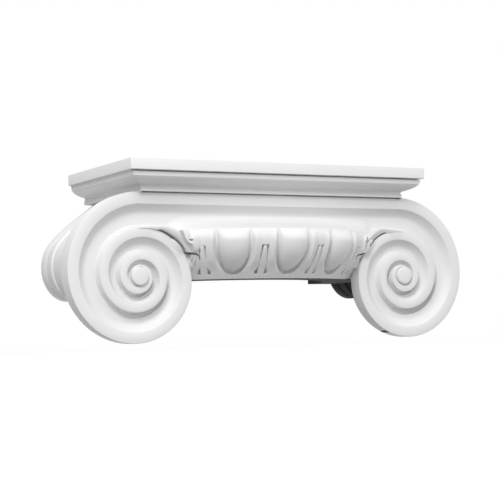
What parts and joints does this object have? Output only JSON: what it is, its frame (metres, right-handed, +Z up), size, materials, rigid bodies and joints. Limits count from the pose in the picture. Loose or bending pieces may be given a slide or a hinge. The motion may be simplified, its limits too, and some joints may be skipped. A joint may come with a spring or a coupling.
{
  "type": "half-column ionic capital",
  "caption": "Flat-backed ionic capital with scrolled volutes, bolsters, an egg-and-dart echinus and a moulded abacus, made to crown a half-round column on a wall.",
  "frame": {"origin": "on the flat back, on the centreline, level with the underside of the abacus", "axes": "+Z up, +X along the front to the viewer's right, +Y out of the flat back into the wall"},
  "size_m": [0.4564, 0.1865, 0.1788],
  "materials": {
    "casting": "white primed rigid foam, moulded smooth and matt"
  },
  "bodies": {
    "root": {"capital": "casting"}
  },
  "joints": []
}
